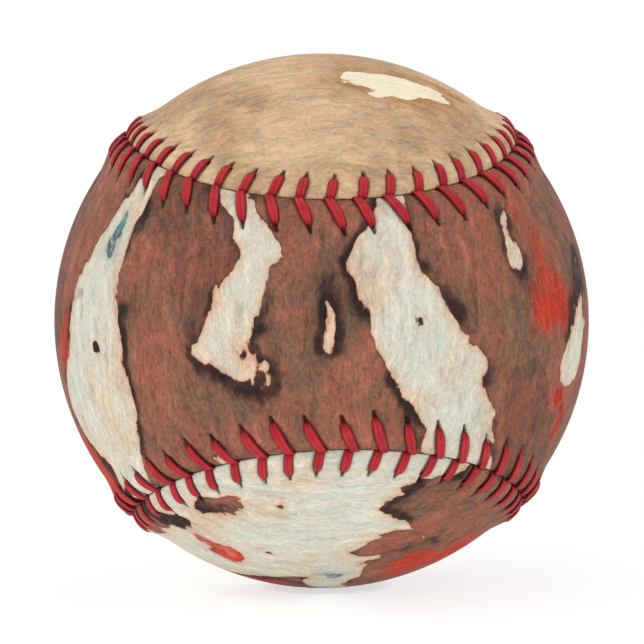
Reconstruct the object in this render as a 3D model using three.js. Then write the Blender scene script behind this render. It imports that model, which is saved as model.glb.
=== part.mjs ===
// A baseball: cork and rubber centre, four yarn windings, two figure-eight leather covers,
// and the one waxed thread that laces the covers together with 108 double stitches.
// Millimetres. The origin is the middle of the ball and +Z is up. The waist of the front cover
// faces -Y and lies level, and the waist of the back cover faces +Y and stands upright.

import * as THREE from 'three';
import { mergeVertices } from 'three/addons/utils/BufferGeometryUtils.js';

// Centre of the ball, from the inside out
const corkDiameter = 20.6;
const blackRubberWall = 3.2;
const redRubberWall = 3.2;
const washerThickness = 1.6;
const jacketSplit = 0.3;
const rubberFit = 0.3;

// Yarn windings, from the inside out
const firstWindingWall = 12.4;
const secondWindingWall = 1.8;
const thirdWindingWall = 2.2;
const finishingWindingWall = 0.6;
const windingFit = 0.2;
const yarnEndHoleDiameter = 3;

// Leather covers
const leatherThickness = 1.2;
const coverFit = 0.5;
const seamGap = 0.6;
const seamRidgeHeight = 0.6;
const seamRidgeHalfWidth = 7;

// Needle holes, each a slit that narrows away from the seam
const stitchCount = 108;
const holeInset = 3.9;
const holeInsetSwing = 0.6;
const holeWidth = 1.7;
const holeTowardSeam = 0.6;
const holeAwayFromSeam = 1.5;

// Waxed thread: wide and flat where it shows, flatter where the leather pinches it
const threadWidth = 1.1;
const threadHeight = 0.6;
const pinchedThreadWidth = 0.8;
const pinchedThreadHeight = 0.36;
const threadFit = 0.12;
const frontSlotLead = 2.1;
const backSlotLead = 0.8;
const threadTail = 2;

// The seam is a closed curve on the ball, written as harmonics of one turn
const seamThirdHarmonic = 0.406;
const seamFifthHarmonic = 0.027;
const seamDepth = 1.37;

// How finely the round shapes are cut
const turnSteps = 16;
const arcSteps = 8;
const seamTableSteps = 4320;
const coverColumns = stitchCount / 2;
const coverRows = 4;
const coverBandClearance = 1.5;
const lobeCentreAngle = THREE.MathUtils.degToRad(90);

// Lengths and angles below which two points count as one
const weldDistance = 1e-4;
const sameDirection = 1e-6;

// Radii that follow from the sizes above
const corkRadius = corkDiameter / 2;
const blackInnerRadius = corkRadius + rubberFit;
const blackOuterRadius = blackInnerRadius + blackRubberWall;
const redInnerRadius = blackOuterRadius + rubberFit;
const pillRadius = redInnerRadius + redRubberWall;
const windingWalls = [firstWindingWall, secondWindingWall, thirdWindingWall, finishingWindingWall];
const woundRadius = windingWalls.reduce((radius, wall) => radius + windingFit + wall, pillRadius);
const coverInnerRadius = woundRadius + coverFit;
const ballRadius = coverInnerRadius + leatherThickness;

// Materials
const rubberBlack = { color: 0x1d1b1b, roughness: 0.75, metalness: 0 };
const rubberRed = { color: 0x96302a, roughness: 0.7, metalness: 0 };
const corkBrown = { color: 0x9c7450, roughness: 0.9, metalness: 0 };
const woolGrey = { color: 0x8b8a86, roughness: 0.95, metalness: 0 };
const woolWhite = { color: 0xe4dfd2, roughness: 0.95, metalness: 0 };
const yarnCream = { color: 0xefe7d3, roughness: 0.9, metalness: 0 };
const leatherTan = { color: 0xcbb08a, roughness: 0.6, metalness: 0 };
const leatherBrown = { color: 0x8a5647, roughness: 0.6, metalness: 0 };
const threadCrimson = { color: 0xb52436, roughness: 0.5, metalness: 0 };

const ball = new THREE.Group();

function addPiece(name, geometry, finish) {
  const mesh = new THREE.Mesh(geometry, new THREE.MeshStandardMaterial(finish));
  mesh.name = name;
  ball.add(mesh);
  return mesh;
}

// Round pieces are turned about the Y axis, so that both covers see the same inside.
// A profile is a list of [angle from +Y, radius] on the half plane, closed on itself or on the axis.
function turnedAboutY(profile) {
  const points = profile.map(([angle, radius]) => {
    const away = radius * Math.sin(angle);
    return new THREE.Vector2(away < weldDistance ? 0 : away, radius * Math.cos(angle));
  });
  return new THREE.LatheGeometry(points, turnSteps);
}

// Points of an arc of one radius between two angles, in steps of the shared arc
function arc(radius, from, to) {
  const steps = Math.max(1, Math.round((Math.abs(to - from) / Math.PI) * arcSteps));
  return Array.from({ length: steps + 1 }, (_, i) => [from + ((to - from) * i) / steps, radius]);
}

function corkCore() {
  return turnedAboutY(arc(corkRadius, Math.PI, 0));
}

// Half shell about +Y whose flat rim stands back from the middle plane by the rim height
function halfShell(innerRadius, outerRadius, rimHeight) {
  const outerRim = Math.acos(rimHeight / outerRadius);
  const innerRim = Math.acos(rimHeight / innerRadius);
  return turnedAboutY([...arc(innerRadius, 0, innerRim), ...arc(outerRadius, outerRim, 0)]);
}

// Flat ring about Y between the rims of the black half shells
function washer() {
  const half = washerThickness / 2;
  const section = [
    [blackInnerRadius, -half],
    [blackOuterRadius, -half],
    [blackOuterRadius, half],
    [blackInnerRadius, half],
    [blackInnerRadius, -half],
  ];
  return new THREE.LatheGeometry(section.map(([x, y]) => new THREE.Vector2(x, y)), turnSteps);
}

// A winding is a hollow ball of yarn. The needle hole through which the end of the yarn
// is drawn down stays open at +Y.
function winding(innerRadius, outerRadius) {
  const innerMouth = Math.asin(yarnEndHoleDiameter / 2 / innerRadius);
  const outerMouth = Math.asin(yarnEndHoleDiameter / 2 / outerRadius);
  const inside = arc(innerRadius, 0, Math.PI).slice(1);
  const outside = arc(outerRadius, Math.PI, 0).slice(0, -1);
  return turnedAboutY([[innerMouth, innerRadius], ...inside, ...outside,
    [outerMouth, outerRadius], [innerMouth, innerRadius]]);
}

// Seam direction at one angle of the curve
function seamDirection(t) {
  return new THREE.Vector3(
    -Math.sin(t) - seamThirdHarmonic * Math.sin(3 * t) - seamFifthHarmonic * Math.sin(5 * t),
    -seamDepth * Math.cos(2 * t),
    Math.cos(t) - seamThirdHarmonic * Math.cos(3 * t) + seamFifthHarmonic * Math.cos(5 * t),
  ).normalize();
}

// Stitch stations: the seam cut into as many equal lengths as it has stitches.
// Each holds the direction outwards, along the seam, and across it into the front cover.
function seamStations() {
  const directions = [];
  const lengths = [0];
  for (let i = 0; i <= seamTableSteps; i += 1) {
    directions.push(seamDirection((2 * Math.PI * i) / seamTableSteps));
    if (i > 0) {
      lengths.push(lengths[i - 1] + directions[i].distanceTo(directions[i - 1]));
    }
  }
  const total = lengths[seamTableSteps];
  const stations = [];
  let step = 0;
  for (let i = 0; i < stitchCount; i += 1) {
    const target = (total * i) / stitchCount;
    while (lengths[step + 1] < target) {
      step += 1;
    }
    const share = (target - lengths[step]) / (lengths[step + 1] - lengths[step]);
    const t = (2 * Math.PI * (step + share)) / seamTableSteps;
    const out = seamDirection(t);
    const halfStep = Math.PI / seamTableSteps;
    const along = seamDirection(t + halfStep).sub(seamDirection(t - halfStep));
    along.addScaledVector(out, -along.dot(out)).normalize();
    const across = new THREE.Vector3().crossVectors(out, along).normalize();
    stations.push({ t, out, along, across });
  }
  return { stations, pitch: (total / stitchCount) * ballRadius };
}

const { stations, pitch } = seamStations();

// Station at any place along the seam, in pitches, straight between its two neighbours
function stationAt(place) {
  const first = Math.floor(place);
  const share = place - first;
  const a = stations[((first % stitchCount) + stitchCount) % stitchCount];
  const b = stations[(((first + 1) % stitchCount) + stitchCount) % stitchCount];
  return {
    out: a.out.clone().lerp(b.out, share),
    along: a.along.clone().lerp(b.along, share).normalize(),
    across: a.across.clone().lerp(b.across, share).normalize(),
  };
}

// Point beside the seam: its place along the seam, its distance into a cover, and its radius
function besideSeam(place, distance, radius) {
  const station = stationAt(place);
  const angle = distance / ballRadius;
  const point = station.out.clone().multiplyScalar(Math.cos(angle));
  point.addScaledVector(station.across, Math.sin(angle));
  return point.multiplyScalar(radius);
}

// The leather stands up to a low ridge on both sides of the seam
function ridge(distance) {
  const share = Math.min(Math.abs(distance) / seamRidgeHalfWidth, 1);
  return seamRidgeHeight * 0.5 * (1 + Math.cos(Math.PI * share));
}

// Distance from the seam to the needle holes: longer on a waist, shorter on a lobe
function holeDistance(index, side) {
  const { t } = stations[((index % stitchCount) + stitchCount) % stitchCount];
  return holeInset + side * holeInsetSwing * Math.cos(2 * t);
}

// Middle line of the front cover, level with the origin, from one lobe centre to the other
function middleLine(direction) {
  const sideways = Math.atan2(Math.abs(direction.x), -direction.y);
  const angle = Math.min(sideways, lobeCentreAngle) * Math.sign(direction.x);
  return new THREE.Vector3(Math.sin(angle), -Math.cos(angle), 0);
}

// Great circle between two directions
function between(from, to, share) {
  const angle = from.angleTo(to);
  if (angle < sameDirection) {
    return from.clone();
  }
  return from.clone().multiplyScalar(Math.sin((1 - share) * angle))
    .addScaledVector(to, Math.sin(share * angle)).divideScalar(Math.sin(angle));
}

// One face of the front cover, as directions with a radius, from the rim to the middle line
function coverFace(baseRadius) {
  const rim = [];
  const holeLeft = [];
  const holeRight = [];
  const holeTip = [];
  for (let i = 0; i < stitchCount; i += 1) {
    const inset = holeDistance(i, 1);
    const near = inset - holeTowardSeam;
    const far = inset + holeAwayFromSeam;
    const half = holeWidth / 2 / pitch;
    rim.push(besideSeam(i, seamGap / 2, baseRadius + ridge(seamGap / 2)));
    holeLeft.push(besideSeam(i - half, near, baseRadius + ridge(near)));
    holeRight.push(besideSeam(i + half, near, baseRadius + ridge(near)));
    holeTip.push(besideSeam(i, far, baseRadius + ridge(far)));
  }
  const bandWidth = holeInset + holeInsetSwing + holeAwayFromSeam + coverBandClearance;
  const rows = [];
  for (let row = 0; row <= coverRows; row += 1) {
    rows.push(Array.from({ length: coverColumns }, (_, column) => {
      const start = besideSeam((column * stitchCount) / coverColumns, bandWidth, 1).normalize();
      return between(start, middleLine(start), row / coverRows).multiplyScalar(baseRadius);
    }));
  }
  return { rim, holeLeft, holeRight, holeTip, rows };
}

// One closed mesh from loose triangles, without those that shrink to a line where rows meet
function mesh(triangles) {
  const positions = triangles.flat().flatMap((point) => [point.x, point.y, point.z]);
  const geometry = new THREE.BufferGeometry();
  geometry.setAttribute('position', new THREE.Float32BufferAttribute(positions, 3));
  const merged = mergeVertices(geometry, weldDistance);
  const { array } = merged.index;
  const kept = [];
  for (let i = 0; i < array.length; i += 3) {
    const [a, b, c] = [array[i], array[i + 1], array[i + 2]];
    if (a !== b && b !== c && c !== a) {
      kept.push(a, b, c);
    }
  }
  merged.setIndex(kept);
  merged.computeVertexNormals();
  return merged;
}

// Triangles of one face of the cover. The outer face is wound to point out of the ball.
function faceTriangles(face) {
  const triangles = [];
  const count = stitchCount;
  for (let i = 0; i < count; i += 1) {
    const next = (i + 1) % count;
    triangles.push([face.rim[i], face.holeRight[i], face.holeLeft[i]]);
    triangles.push([face.rim[i], face.rim[next], face.holeLeft[next]]);
    triangles.push([face.rim[i], face.holeLeft[next], face.holeRight[i]]);
    triangles.push([face.holeRight[i], face.holeLeft[next], face.holeTip[next]]);
    triangles.push([face.holeRight[i], face.holeTip[next], face.holeTip[i]]);
  }
  const perColumn = stitchCount / coverColumns;
  for (let column = 0; column < coverColumns; column += 1) {
    const next = (column + 1) % coverColumns;
    const tips = Array.from({ length: perColumn + 1 },
      (_, k) => face.holeTip[(column * perColumn + k) % count]);
    const [first, middle, last] = tips;
    triangles.push([first, middle, face.rows[0][column]]);
    triangles.push([middle, face.rows[0][next], face.rows[0][column]]);
    triangles.push([middle, last, face.rows[0][next]]);
    for (let row = 0; row < coverRows; row += 1) {
      const [a, b] = [face.rows[row][column], face.rows[row][next]];
      const [c, d] = [face.rows[row + 1][next], face.rows[row + 1][column]];
      triangles.push([a, b, c], [a, c, d]);
    }
  }
  return triangles;
}

// Figure-eight cover: outer face, inner face, the cut edge at the seam and the hole walls
function cover() {
  const outside = coverFace(ballRadius);
  const inside = coverFace(coverInnerRadius);
  const triangles = faceTriangles(outside);
  faceTriangles(inside).forEach(([a, b, c]) => triangles.push([a, c, b]));
  const wall = (from, to) => {
    triangles.push([outside[from[0]][from[1]], inside[from[0]][from[1]], inside[to[0]][to[1]]]);
    triangles.push([outside[from[0]][from[1]], inside[to[0]][to[1]], outside[to[0]][to[1]]]);
  };
  for (let i = 0; i < stitchCount; i += 1) {
    wall(['rim', i], ['rim', (i + 1) % stitchCount]);
    wall(['holeRight', i], ['holeLeft', i]);
    wall(['holeLeft', i], ['holeTip', i]);
    wall(['holeTip', i], ['holeRight', i]);
  }
  return mesh(triangles);
}

// The thread's route through one needle hole: up through the leather, over the ridge
// and down between the two cut edges. Side is 1 on the front cover and -1 on the back one.
function halfStitch(index, side) {
  const inset = holeDistance(index, side);
  const slot = index + (side > 0 ? frontSlotLead : backSlotLead) / pitch;
  const underHole = coverInnerRadius + ridge(inset) - threadFit - pinchedThreadHeight / 2;
  const overHole = ballRadius + ridge(inset) + threadFit + threadHeight / 2;
  const overSeam = ballRadius + ridge(0) + threadFit + threadHeight / 2;
  const underSeam = coverInnerRadius + ridge(0) - threadFit - threadHeight / 2;
  const full = [threadWidth, threadHeight];
  const pinched = [pinchedThreadWidth, pinchedThreadHeight];
  const drawnIn = [pinchedThreadWidth, threadHeight];
  return [
    { place: index, distance: side * inset, radius: underHole, section: pinched },
    { place: index, distance: side * inset, radius: overHole, section: drawnIn },
    { place: slot, distance: 0, radius: overSeam, section: full },
    { place: slot, distance: 0, radius: underSeam, section: pinched },
  ];
}

// Stitches of one needle, which changes covers at each stitch, and its tucked tail
function needleRoute(firstSide) {
  const route = [];
  for (let i = 0; i < stitchCount; i += 1) {
    const side = i % 2 === 0 ? firstSide : -firstSide;
    route.push(...halfStitch(i, side));
  }
  const last = route[route.length - 1];
  const lastSide = (stitchCount - 1) % 2 === 0 ? firstSide : -firstSide;
  route.push({ ...last, distance: -lastSide * threadTail });
  return route;
}

// The whole thread: one needle's stitches backwards, under the first stitch, then the other's
function threadRoute() {
  const middle = { place: 0, distance: 0, section: [pinchedThreadWidth, pinchedThreadHeight],
    radius: coverInnerRadius + ridge(0) - threadFit - threadHeight / 2 };
  return [...needleRoute(-1).reverse(), middle, ...needleRoute(1)];
}

// Wall between two corners of one ring and the same corners of the next. The section turns as
// the thread goes, so the wall is folded along whichever diagonal stands further out.
function foldedWall(a, b, nextB, nextA) {
  const middle = a.clone().add(b).add(nextB).add(nextA).divideScalar(4);
  const outwards = b.clone().sub(a).cross(nextA.clone().sub(a));
  const rise = a.clone().add(nextB).divideScalar(2).sub(middle).dot(outwards);
  return rise > 0
    ? [[a, b, nextB], [a, nextB, nextA]]
    : [[a, b, nextA], [b, nextB, nextA]];
}

// The thread as one closed tube of four sides, its section turned with the route
function lacingThread() {
  const route = threadRoute();
  const points = route.map(({ place, distance, radius }) => besideSeam(place, distance, radius));
  const rings = route.map(({ place, section: [width, height] }, i) => {
    const before = points[Math.max(i - 1, 0)];
    const after = points[Math.min(i + 1, points.length - 1)];
    const heading = after.clone().sub(points[i]).normalize()
      .add(points[i].clone().sub(before).normalize()).normalize();
    const sideways = stationAt(place).along;
    sideways.addScaledVector(heading, -sideways.dot(heading)).normalize();
    const upwards = new THREE.Vector3().crossVectors(heading, sideways);
    return [[width, sideways], [height, upwards], [-width, sideways], [-height, upwards]]
      .map(([size, direction]) => points[i].clone().addScaledVector(direction, size / 2));
  });
  const triangles = [];
  for (let i = 0; i + 1 < rings.length; i += 1) {
    for (let side = 0; side < 4; side += 1) {
      const next = (side + 1) % 4;
      triangles.push(...foldedWall(rings[i][side], rings[i][next],
        rings[i + 1][next], rings[i + 1][side]));
    }
  }
  const [start] = rings;
  const end = rings[rings.length - 1];
  triangles.push([start[0], start[2], start[1]], [start[0], start[3], start[2]]);
  triangles.push([end[0], end[1], end[2]], [end[0], end[2], end[3]]);
  return mesh(triangles);
}

// Centre
addPiece('cork_core', corkCore(), corkBrown);
const blackRim = washerThickness / 2 + rubberFit;
addPiece('black_shell_back', halfShell(blackInnerRadius, blackOuterRadius, blackRim), rubberBlack);
addPiece('black_shell_front', halfShell(blackInnerRadius, blackOuterRadius, blackRim), rubberBlack)
  .rotation.x = Math.PI;
addPiece('red_washer', washer(), rubberRed);
const jacketRim = jacketSplit / 2;
addPiece('red_jacket_back', halfShell(redInnerRadius, pillRadius, jacketRim), rubberRed);
addPiece('red_jacket_front', halfShell(redInnerRadius, pillRadius, jacketRim), rubberRed)
  .rotation.x = Math.PI;

// Windings
const windings = [
  ['winding_1_grey_wool', firstWindingWall, woolGrey],
  ['winding_2_white_wool', secondWindingWall, woolWhite],
  ['winding_3_grey_wool', thirdWindingWall, woolGrey],
  ['winding_4_fine_yarn', finishingWindingWall, yarnCream],
];
let innerRadius = pillRadius + windingFit;
windings.forEach(([name, wall, finish]) => {
  addPiece(name, winding(innerRadius, innerRadius + wall), finish);
  innerRadius += wall + windingFit;
});

// Covers: the same cut twice, the second turned half a turn about the line between +X and +Z
addPiece('cover_front', cover(), leatherBrown);
addPiece('cover_back', cover(), leatherTan)
  .quaternion.setFromAxisAngle(new THREE.Vector3(1, 0, 1).normalize(), Math.PI);
addPiece('lacing_thread', lacingThread(), threadCrimson);

export default ball;
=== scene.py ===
"""A baseball: two printed leather covers laced with red thread over yarn, rubber and cork.

Metres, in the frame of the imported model: the ball's middle is the origin and +Z is up. The waist
of the front cover faces -Y and lies level, and the waist of the back cover faces +Y and is upright.
"""

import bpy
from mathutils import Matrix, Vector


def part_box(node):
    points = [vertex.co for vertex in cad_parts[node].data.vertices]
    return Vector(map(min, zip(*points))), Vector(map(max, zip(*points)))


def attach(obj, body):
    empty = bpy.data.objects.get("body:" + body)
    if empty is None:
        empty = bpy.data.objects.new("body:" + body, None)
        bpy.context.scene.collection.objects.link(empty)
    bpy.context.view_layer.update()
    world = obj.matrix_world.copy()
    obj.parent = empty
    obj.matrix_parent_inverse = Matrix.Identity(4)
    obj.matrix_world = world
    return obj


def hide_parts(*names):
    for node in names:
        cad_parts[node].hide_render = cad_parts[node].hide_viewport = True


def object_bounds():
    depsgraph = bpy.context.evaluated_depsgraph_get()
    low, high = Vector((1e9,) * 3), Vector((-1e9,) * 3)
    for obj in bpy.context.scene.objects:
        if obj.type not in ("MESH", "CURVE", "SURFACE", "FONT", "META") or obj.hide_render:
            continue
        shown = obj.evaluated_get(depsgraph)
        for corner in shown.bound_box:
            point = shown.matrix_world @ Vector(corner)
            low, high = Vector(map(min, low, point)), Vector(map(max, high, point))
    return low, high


bl_info = {
    "name": "Laced Baseball",
    "version": (1, 0, 0),
    "blender": (4, 5, 0),
    "location": "View3D > Sidebar > Baseball",
    "description": "Dresses the frame of a baseball with printed leather covers and their lacing",
    "category": "Add Mesh",
}

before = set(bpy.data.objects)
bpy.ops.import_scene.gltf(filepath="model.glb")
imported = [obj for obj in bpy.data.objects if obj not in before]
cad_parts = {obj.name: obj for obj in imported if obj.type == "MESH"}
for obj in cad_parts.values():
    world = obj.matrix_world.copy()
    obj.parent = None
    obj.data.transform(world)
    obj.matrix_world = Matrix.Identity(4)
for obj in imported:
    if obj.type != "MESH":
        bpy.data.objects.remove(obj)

import math

import bmesh
import bpy
import numpy as np
from bpy.props import FloatProperty, FloatVectorProperty, IntProperty, PointerProperty
from mathutils import Matrix, Vector

CAD_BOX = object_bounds()
MM = 0.001
BALL_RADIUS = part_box("cover_front")[1].x
FRONT = 1
BACK = -1
# Factors for the three axes that turn metres into ball radii
BALL_SCALE = (1 / BALL_RADIUS,) * 3


def srgb(red, green, blue):
    """A colour as the eye reads it, 0 to 255, in the linear values that Blender works in."""
    shares = [channel / 255 for channel in (red, green, blue)]
    return [s / 12.92 if s <= 0.04045 else ((s + 0.055) / 1.055) ** 2.4 for s in shares]


def add_object(name, data):
    """A new object in the scene, at the origin."""
    new = bpy.data.objects.new(name, data)
    bpy.context.scene.collection.objects.link(new)
    return new


def length_property(name, millimetres, description):
    """A length that a user may change."""
    return FloatProperty(
        name=name, description=description, default=millimetres * MM,
        min=0.0, unit="LENGTH", subtype="DISTANCE", precision=5,
    )


def colour_property(name, shade, description):
    """A colour that a user may change. Its shade goes from 0 to 255."""
    return FloatVectorProperty(
        name=name, description=description, default=srgb(*shade), size=3,
        min=0.0, max=1.0, subtype="COLOR",
    )


class BaseballSeam(bpy.types.PropertyGroup):
    """The seam curve and the places of its stitches"""

    third_harmonic: FloatProperty(
        name="Third harmonic", description="How far the seam swings back at its lobes", default=0.406)
    fifth_harmonic: FloatProperty(
        name="Fifth harmonic", description="How square the lobes are", default=0.027)
    depth: FloatProperty(
        name="Depth", description="How far the seam reaches to the front and the back", default=1.37)
    stitches: IntProperty(
        name="Stitches", description="Double stitches round the seam", default=108, min=12)
    reach: length_property("Reach", 3.5, "Seam to the outer end of a stitch, on average")
    reach_swing: length_property(
        "Reach swing", 0.44, "How much further the stitches reach on a waist than on average")
    front_lead: length_property(
        "Front lead", 1.6, "How far along the seam a stitch of the front cover runs")
    back_lead: length_property(
        "Back lead", 0.65, "How far along the seam a stitch of the back cover runs")
    front_set: length_property(
        "Front set", 0.2, "How far the front cover's holes are set back along the seam")
    back_set: length_property(
        "Back set", 0.33, "How far the back cover's holes are set forward along the seam")
    bow: FloatProperty(
        name="Bow", description="How much more a stitch slants near the seam than at its hole",
        default=0.35, min=0.0, max=1.0, subtype="FACTOR")
    unevenness: length_property(
        "Unevenness", 0.12, "How far a hand-made stitch strays from its place")
    seed: IntProperty(name="Seed", description="Draws the strays", default=7)


class BaseballLeather(bpy.types.PropertyGroup):
    """The form of the two leather covers"""

    thickness: length_property("Thickness", 1.2, "Leather thickness")
    ridge_height: length_property("Ridge height", 0.72, "How far the leather stands up by the seam")
    crown_distance: length_property("Crown distance", 2.0, "Seam to the crown of the ridge")
    ridge_half_width: length_property("Ridge half width", 6.4, "Seam to the foot of the ridge")
    seam_dip: length_property("Seam dip", 0.5, "How far the leather rolls down at the seam")
    press_depth: length_property("Press depth", 0.3, "Groove that each stitch presses")
    press_half_width: length_property("Press half width", 0.62, "Half width of that groove")
    pucker: length_property("Pucker", 0.13, "Swell of the leather between two stitches")
    slit_depth: length_property("Slit depth", 0.75, "Depth of the needle slit beyond a stitch")
    slit_half_width: length_property("Slit half width", 0.24, "Half width of the needle slit")
    slit_length: length_property("Slit length", 0.95, "Needle slit beyond the end of a stitch")


class BaseballThread(bpy.types.PropertyGroup):
    """The waxed thread, which lies as two plies side by side"""

    strand_radius: length_property("Strand radius", 0.37, "Radius of one ply")
    strand_spacing: length_property("Strand spacing", 0.24, "Middle of the thread to a ply's middle")
    flatness: FloatProperty(
        name="Flatness", description="Height of a ply that the leather presses, of its width",
        default=0.62, min=0.1, max=1.0, subtype="FACTOR")
    tail: length_property("Tail", 2.0, "Thread tucked under a cover at each end")
    strand_sides: IntProperty(name="Strand sides", description="Sides of one ply", default=8, min=5)


class BaseballColours(bpy.types.PropertyGroup):
    """Colours of the leather print and of the thread"""

    paper: colour_property("Paper", (213, 215, 200), "Leather that no wash covers")
    peach: colour_property("Peach", (222, 186, 154), "Warm tint round the washes")
    tan: colour_property("Tan", (219, 187, 151), "Ground wash of the back cover")
    sand: colour_property("Sand", (194, 161, 126), "Darker drift in the tan wash")
    cream: colour_property("Cream", (255, 242, 214), "Patch left light in the tan wash")
    russet: colour_property("Russet", (156, 100, 82), "Red side of the brown wash")
    umber: colour_property("Umber", (131, 98, 78), "Olive side of the brown wash")
    plum: colour_property("Plum", (38, 26, 29), "Pigment pooled at the edge of a wash")
    ember: colour_property("Ember", (168, 84, 46), "Singed line along the edge of a wash")
    vermilion: colour_property("Vermilion", (206, 44, 4), "Bright accent")
    teal: colour_property("Teal", (96, 146, 150), "Cool accent")
    ochre: colour_property("Ochre", (178, 130, 74), "Warm accent on the tan")
    slate: colour_property("Slate", (64, 60, 58), "Dark brush mark")
    crimson: colour_property("Crimson", (180, 22, 34), "Waxed thread")
    # Rose is a painted highlight on the thread's crests, where they face out from the ball
    crest_highlight: colour_property("Rose", (200, 62, 68), "Worn crest of the thread")
    # Groove is painted shade on the sides of the plies and between them, and also the tint of the
    # thread's random stains
    groove: colour_property("Groove", (124, 14, 26), "Thread between its plies")


# Seam

def unit(vectors):
    """The directions of some vectors."""
    return vectors / np.linalg.norm(vectors, axis=-1, keepdims=True)


def squared(vectors, directions):
    """The directions of some vectors once they are made square to some other directions."""
    return unit(vectors - directions * np.sum(vectors * directions, axis=-1, keepdims=True))


class Seam:
    """The closed seam on the unit ball, cut into as many equal lengths as it has stitches."""

    TABLE_STEPS = 8640

    def __init__(self, shape):
        self.shape = shape
        self.turn = np.linspace(0, 2 * np.pi, self.TABLE_STEPS + 1)
        points = self.direction(self.turn)
        steps = np.linalg.norm(np.diff(points, axis=0), axis=1)
        lengths = np.concatenate([[0.0], np.cumsum(steps)])
        self.places = lengths / lengths[-1] * shape.stitches
        self.pitch = lengths[-1] / shape.stitches * BALL_RADIUS

    def direction(self, turn):
        third, fifth = self.shape.third_harmonic, self.shape.fifth_harmonic
        return unit(np.stack([
            -np.sin(turn) - third * np.sin(3 * turn) - fifth * np.sin(5 * turn),
            -self.shape.depth * np.cos(2 * turn),
            np.cos(turn) - third * np.cos(3 * turn) + fifth * np.cos(5 * turn),
        ], axis=-1))

    def turn_at(self, place):
        """The curve's own angle at a place, which is counted in stitches."""
        return np.interp(np.mod(place, self.shape.stitches), self.places, self.turn)

    def frame_at(self, place):
        """Directions outwards, along the seam and across it into the front cover."""
        turn = self.turn_at(place)
        step = np.pi / self.TABLE_STEPS
        out = self.direction(turn)
        along = squared(self.direction(turn + step) - self.direction(turn - step), out)
        return out, along, np.cross(out, along)

    def beside(self, place, distance, radius):
        """Points beside the seam: their place, their distance into the front cover, their radius."""
        out, _, across = self.frame_at(place)
        angle = np.asarray(distance)[..., None] / BALL_RADIUS
        return (out * np.cos(angle) + across * np.sin(angle)) * np.asarray(radius)[..., None]

    def reach(self, place, side):
        """Seam to the outer end of a stitch."""
        swing = self.shape.reach_swing * np.cos(2 * self.turn_at(place))
        return self.shape.reach + side * swing


class Stitching:
    """Where each half stitch of one cover lies, with the strays of hand sewing."""

    # Furthest stray, in times the unevenness, and how much more the front cover's ends stray
    STRAY_LIMIT = 2.2
    FRONT_END_STRAY = 1.8

    def __init__(self, seam, side):
        shape = seam.shape
        rng = np.random.default_rng(shape.seed + side)
        count = shape.stitches
        limit = self.STRAY_LIMIT * shape.unevenness
        strays = rng.normal(0.0, shape.unevenness, (3, count)).clip(-limit, limit)
        self.seam = seam
        self.side = side
        self.lead = shape.front_lead if side == FRONT else shape.back_lead
        self.shift, self.reach_stray, self.lead_stray = strays
        self.shift += shape.back_set if side == BACK else -shape.front_set
        self.reach_stray *= self.FRONT_END_STRAY if side == FRONT else 1.0

    def reach(self, index):
        """Seam to the outer end of one stitch."""
        return self.seam.reach(index, self.side) + self.reach_stray[index % len(self.shift)]

    def run(self, share):
        """Share of its lead that a stitch still has, at a share of the way from seam to hole."""
        left = 1 - share
        bow = self.seam.shape.bow
        return (1 - bow) * left + bow * np.maximum(left, 0.0) ** 2

    def slant(self, index, share):
        """How far along the seam a stitch has run, at a share of the way from seam to hole."""
        number = index % len(self.shift)
        return self.shift[number] + (self.lead + self.lead_stray[number]) * self.run(share)


def smooth(value, low, high):
    """Rises softly from 0 at one value to 1 at another."""
    share = np.clip((value - low) / (high - low), 0, 1)
    return share * share * (3 - 2 * share)


def ridge(leather, distance):
    """Height of the leather that the stitches draw up: it rolls down at the seam."""
    away = np.abs(distance)
    slope = leather.ridge_half_width - leather.crown_distance
    fall = np.clip((away - leather.crown_distance) / slope, 0, 1)
    roll = np.clip(1 - away / leather.crown_distance, 0, 1)
    return leather.ridge_height * np.cos(np.pi / 2 * fall) ** 2 - leather.seam_dip * roll ** 2


# Leather covers

# Columns of one stitch: distances from its middle along a seam of this pitch
COLUMN_PITCH = 3.686 * MM
COLUMN_OFFSETS = np.array([-1.35, -0.9, -0.68, -0.53, -0.35, -0.2, -0.08,
                           0.08, 0.2, 0.35, 0.53, 0.68, 0.9, 1.35]) * MM
# The cut edge at the seam: distance from the seam and drop below the ridge, in millimetres
EDGE_PROFILE = [(0.02, 1.2), (0.02, 0.5), (0.03, 0.22), (0.06, 0.1), (0.13, 0.04), (0.28, 0.008)]
# The cut edge gets painted shade, deeper as it drops. This drop would be fully shaded, but the shade
# stops short.
EDGE_SHADE_DROP = 0.2
EDGE_SHADE_LIMIT = 0.8
# Rows from there to the hole, as shares of that way, and from the hole to the foot of the band
ROWS_TO_HOLE = [0.13, 0.2, 0.3, 0.41, 0.53, 0.64, 0.74, 0.83, 0.9, 0.95, 1.0]
ROWS_PAST_HOLE = [0.03, 0.06, 0.1, 0.15, 0.2, 0.27, 0.36, 0.47, 0.62, 0.8, 1.0]
BAND_WIDTH = 7.4 * MM
# Beyond the band, one point stands for this many columns, from this many stitches further back
COARSE_STEP = 7
COARSE_SHIFT = 0.25
FACE_START = BAND_WIDTH + 0.9 * MM
FACE_ROWS = 16
LINING_BAND_ROWS = [2.0 * MM, 4.6 * MM, BAND_WIDTH]
LINING_MIDDLE_ROWS = 7
# Shares of the way from the seam to the hole: where a groove fades out, where the swell between
# two stitches ends, and where the columns start to turn square to the seam again
GROOVE_END = (0.82, 1.02)
SWELL_END = 1.25
SLANT_END = 1.3
# A needle slit opens short of its hole, narrows by a share, and rises again over its last part
SLIT_OPENING = (-0.7 * MM, -0.3 * MM)
SLIT_NARROWING = 0.3
SLIT_RISE = 0.6
# Widths of the painted shade in the creases beside a stitch and in the fold at its hole
CREASE_WIDTH = 0.11 * MM
END_FOLD_WIDTH = 0.35 * MM
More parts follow.
